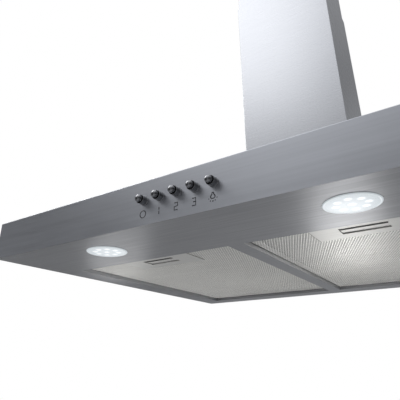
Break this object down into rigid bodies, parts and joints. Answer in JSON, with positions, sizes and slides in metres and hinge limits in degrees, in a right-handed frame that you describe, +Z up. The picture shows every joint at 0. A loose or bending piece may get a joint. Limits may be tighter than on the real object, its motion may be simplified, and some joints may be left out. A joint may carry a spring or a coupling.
{
  "type": "chimney range hood",
  "caption": "Wall-mounted flat-canopy range hood with a telescopic chimney cover, a row of push buttons, round lamps and hinged mesh grease filters over a duct blower.",
  "frame": {"origin": "on the wall plane, on the centre line, level with the underside of the canopy", "axes": "+Z up, +Y into the wall and -Y towards the room (the front), +X to the right of someone facing the wall"},
  "size_m": [0.6, 0.562, 0.85],
  "materials": {
    "brushed_steel": "brushed",
    "galvanised": "matt",
    "bright_chrome": "polished",
    "black_plastic": "matt",
    "grey_plastic": "satin",
    "motor_paint": "satin",
    "rubber": "matt",
    "filter_aluminium": "satin",
    "can_aluminium": "satin",
    "lens": "glossy",
    "board": "satin",
    "screw_steel": "plain"
  },
  "bodies": {
    "hood": {"canopy_shell": "brushed_steel", "underside_plate": "brushed_steel", "rear_panel": "galvanised", "lower_chimney_cover": "brushed_steel", "lower_cover_screws": "screw_steel", "button_collars": "bright_chrome", "switch_bank": "black_plastic", "switch_bank_screws": "screw_steel", "blower_housing": "galvanised", "blower_housing_screws": "screw_steel", "left_scroll_half": "grey_plastic", "right_scroll_half": "grey_plastic", "scroll_screws": "screw_steel", "scroll_neck_screws": "screw_steel", "motor_rubber_mounts": "rubber", "motor_bracket": "galvanised", "motor_bracket_screws": "screw_steel", "motor": "motor_paint", "outlet_collar": "black_plastic", "collar_screws": "screw_steel", "flap_pin": "screw_steel", "capacitor": "can_aluminium", "capacitor_clip": "galvanised", "terminal_box": "black_plastic", "terminal_box_lid": "black_plastic", "lamp_driver": "grey_plastic", "cable_gland": "black_plastic", "left_lamp_diffuser": "lens", "left_lamp_cup": "can_aluminium", "left_lamp_board": "board", "left_lamp_clips": "screw_steel", "right_lamp_diffuser": "lens", "right_lamp_cup": "can_aluminium", "right_lamp_board": "board", "right_lamp_clips": "screw_steel"},
    "fan": {"motor_shaft": "screw_steel", "fan_wheel": "black_plastic"},
    "front_flap": {"front_flap": "grey_plastic"},
    "rear_flap": {"rear_flap": "grey_plastic"},
    "button_off": {"button_off": "bright_chrome"},
    "button_speed_1": {"button_speed_1": "bright_chrome"},
    "button_speed_2": {"button_speed_2": "bright_chrome"},
    "button_speed_3": {"button_speed_3": "bright_chrome"},
    "button_light": {"button_light": "bright_chrome"},
    "left_filter": {"left_filter_frame": "filter_aluminium", "left_filter_mesh": "filter_aluminium", "left_filter_core": "filter_aluminium", "left_latch_cover": "filter_aluminium", "left_latch_spring": "screw_steel"},
    "left_latch": {"left_latch_slide": "screw_steel"},
    "right_filter": {"right_filter_frame": "filter_aluminium", "right_filter_mesh": "filter_aluminium", "right_filter_core": "filter_aluminium", "right_latch_cover": "filter_aluminium", "right_latch_spring": "screw_steel"},
    "right_latch": {"right_latch_slide": "screw_steel"},
    "upper_cover": {"upper_chimney_cover": "brushed_steel", "upper_wall_bracket": "galvanised", "upper_bracket_screws": "screw_steel"}
  },
  "joints": [
    {"name": "button_off_press", "type": "slide", "parent": "hood", "child": "button_off", "axis": [0, 1, 0], "range_m": [0, 0.004], "stiffness_N_per_m": 400},
    {"name": "button_speed_1_press", "type": "slide", "parent": "hood", "child": "button_speed_1", "axis": [0, 1, 0], "range_m": [0, 0.004], "stiffness_N_per_m": 400},
    {"name": "button_speed_2_press", "type": "slide", "parent": "hood", "child": "button_speed_2", "axis": [0, 1, 0], "range_m": [0, 0.004], "stiffness_N_per_m": 400},
    {"name": "button_speed_3_press", "type": "slide", "parent": "hood", "child": "button_speed_3", "axis": [0, 1, 0], "range_m": [0, 0.004], "stiffness_N_per_m": 400},
    {"name": "button_light_press", "type": "slide", "parent": "hood", "child": "button_light", "axis": [0, 1, 0], "range_m": [0, 0.004], "stiffness_N_per_m": 400},
    {"name": "fan_spin", "type": "hinge", "parent": "hood", "child": "fan", "pos_m": [0, -0.096, 0.12], "axis": [1, 0, 0], "continuous": true},
    {"name": "front_flap_swing", "type": "hinge", "parent": "hood", "child": "front_flap", "pos_m": [0, -0.091, 0.224], "axis": [-1, 0, 0], "range_deg": [0, 75]},
    {"name": "rear_flap_swing", "type": "hinge", "parent": "hood", "child": "rear_flap", "pos_m": [0, -0.091, 0.224], "axis": [1, 0, 0], "range_deg": [0, 75]},
    {"name": "left_filter_swing", "type": "hinge", "parent": "hood", "child": "left_filter", "pos_m": [-0.13675, -0.0382, 0.0059], "axis": [1, 0, 0], "range_deg": [0, 80]},
    {"name": "left_latch_pull", "type": "slide", "parent": "left_filter", "child": "left_latch", "axis": [0, 1, 0], "range_m": [0, 0.006], "stiffness_N_per_m": 400, "deforming": ["left_latch_spring"]},
    {"name": "right_filter_swing", "type": "hinge", "parent": "hood", "child": "right_filter", "pos_m": [0.13675, -0.0382, 0.0059], "axis": [1, 0, 0], "range_deg": [0, 80]},
    {"name": "right_latch_pull", "type": "slide", "parent": "right_filter", "child": "right_latch", "axis": [0, 1, 0], "range_m": [0, 0.006], "stiffness_N_per_m": 400, "deforming": ["right_latch_spring"]},
    {"name": "upper_cover_slide", "type": "slide", "parent": "hood", "child": "upper_cover", "axis": [0, 0, 1], "range_m": [-0.17, 0.22]}
  ]
}
